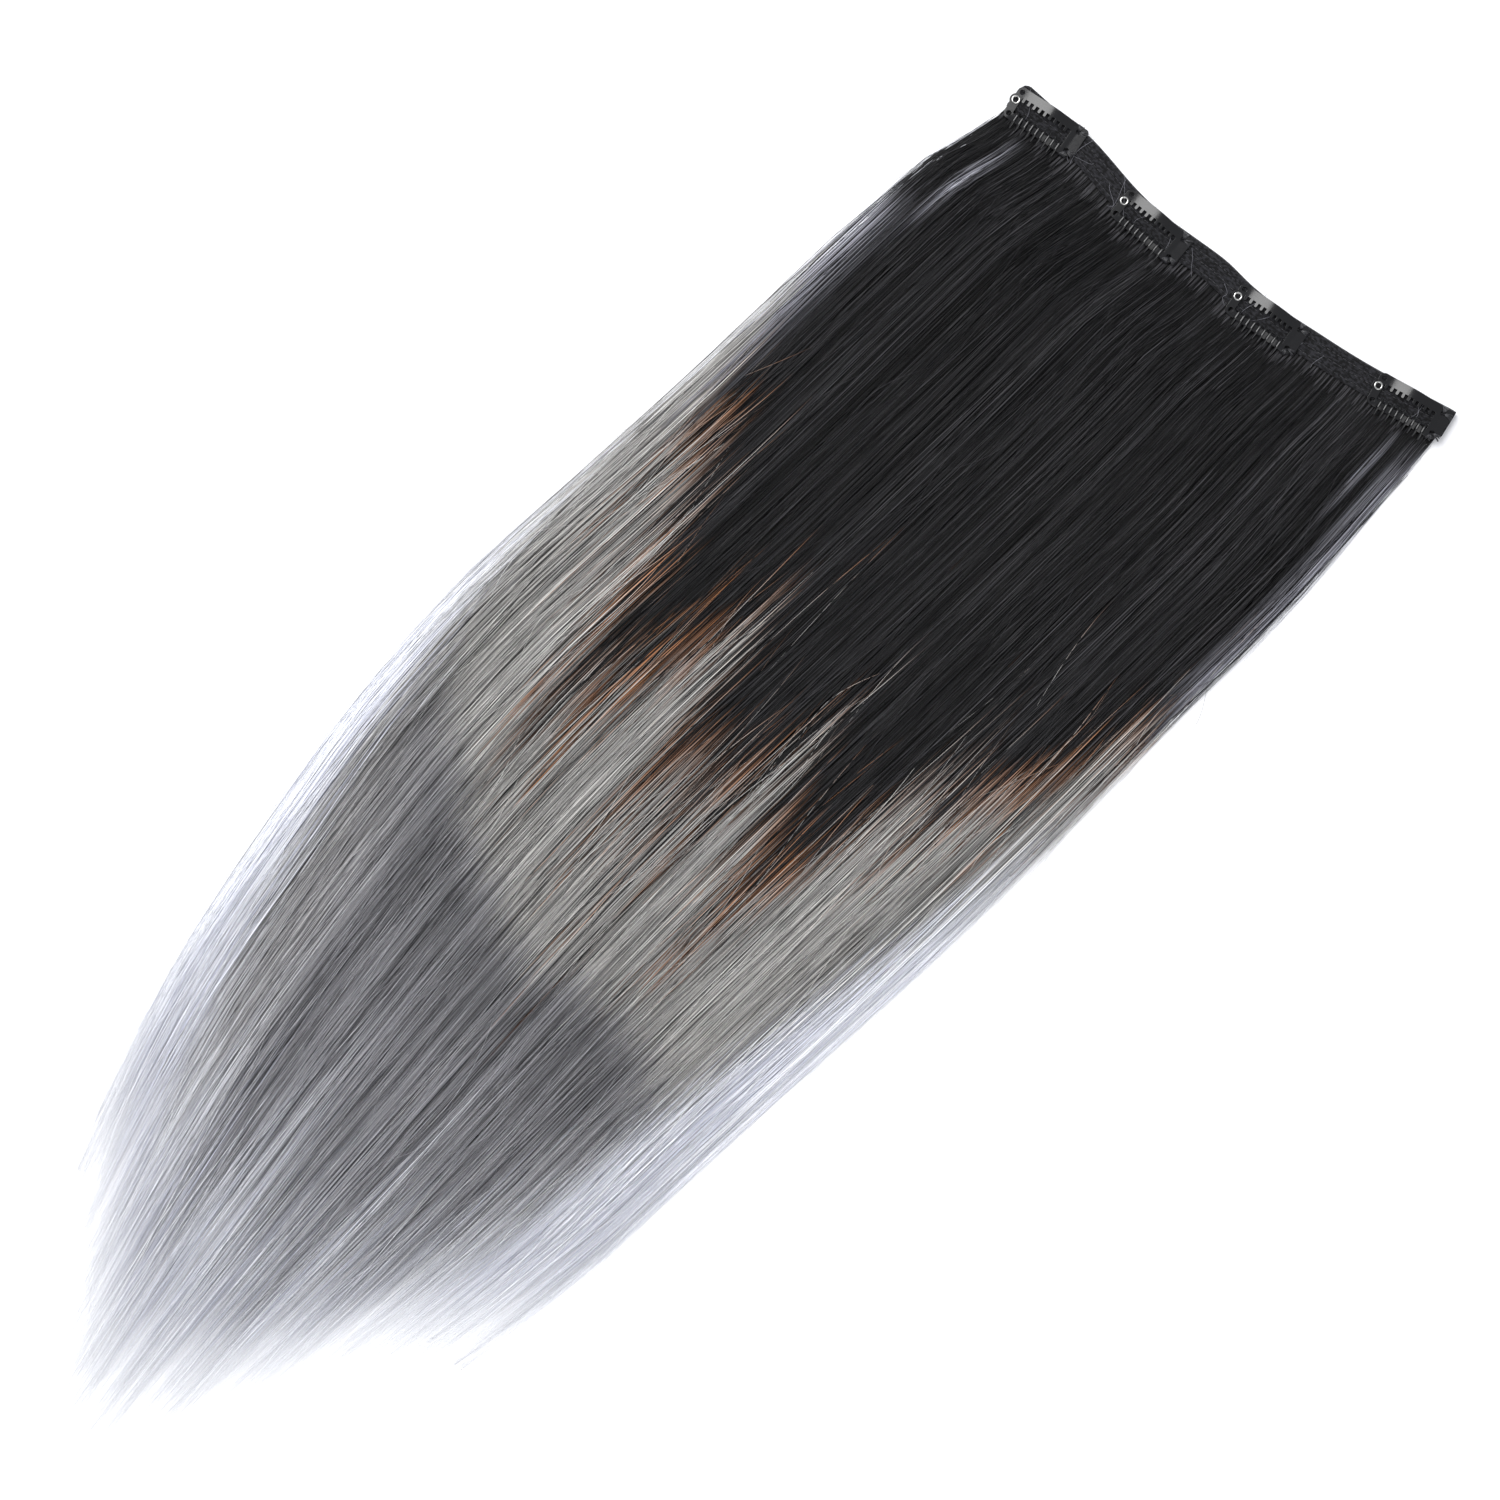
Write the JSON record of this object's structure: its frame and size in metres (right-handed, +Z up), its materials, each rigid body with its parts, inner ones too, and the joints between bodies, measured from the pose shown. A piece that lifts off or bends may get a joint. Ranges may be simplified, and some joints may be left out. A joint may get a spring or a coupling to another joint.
{
  "type": "clip in hair extension",
  "caption": "Wide weft of straight ombre hair sewn in a folded woven tape with snap combs, lying flat as laid out for use.",
  "frame": {"origin": "on the underside of the tape at its middle, the height of the surface that it lies on", "axes": "+X along the tape, +Y away from the hair, +Z up, the side that the combs are sewn on"},
  "size_m": [0.2611, 0.6029, 0.0088],
  "materials": {
    "tape": "woven black tape, matt",
    "hair": "straight hair, black at the roots, grey to silver at the tips, soft sheen",
    "comb_steel": "black painted spring steel, glossy",
    "rivet": "bright nickel plate"
  },
  "bodies": {
    "root": {"weft_tape": "tape", "hair": "hair", "clip_1_plate": "comb_steel", "clip_1_rivet": "rivet", "clip_2_plate": "comb_steel", "clip_2_rivet": "rivet", "clip_3_plate": "comb_steel", "clip_3_rivet": "rivet", "clip_4_plate": "comb_steel", "clip_4_rivet": "rivet"}
  },
  "joints": []
}
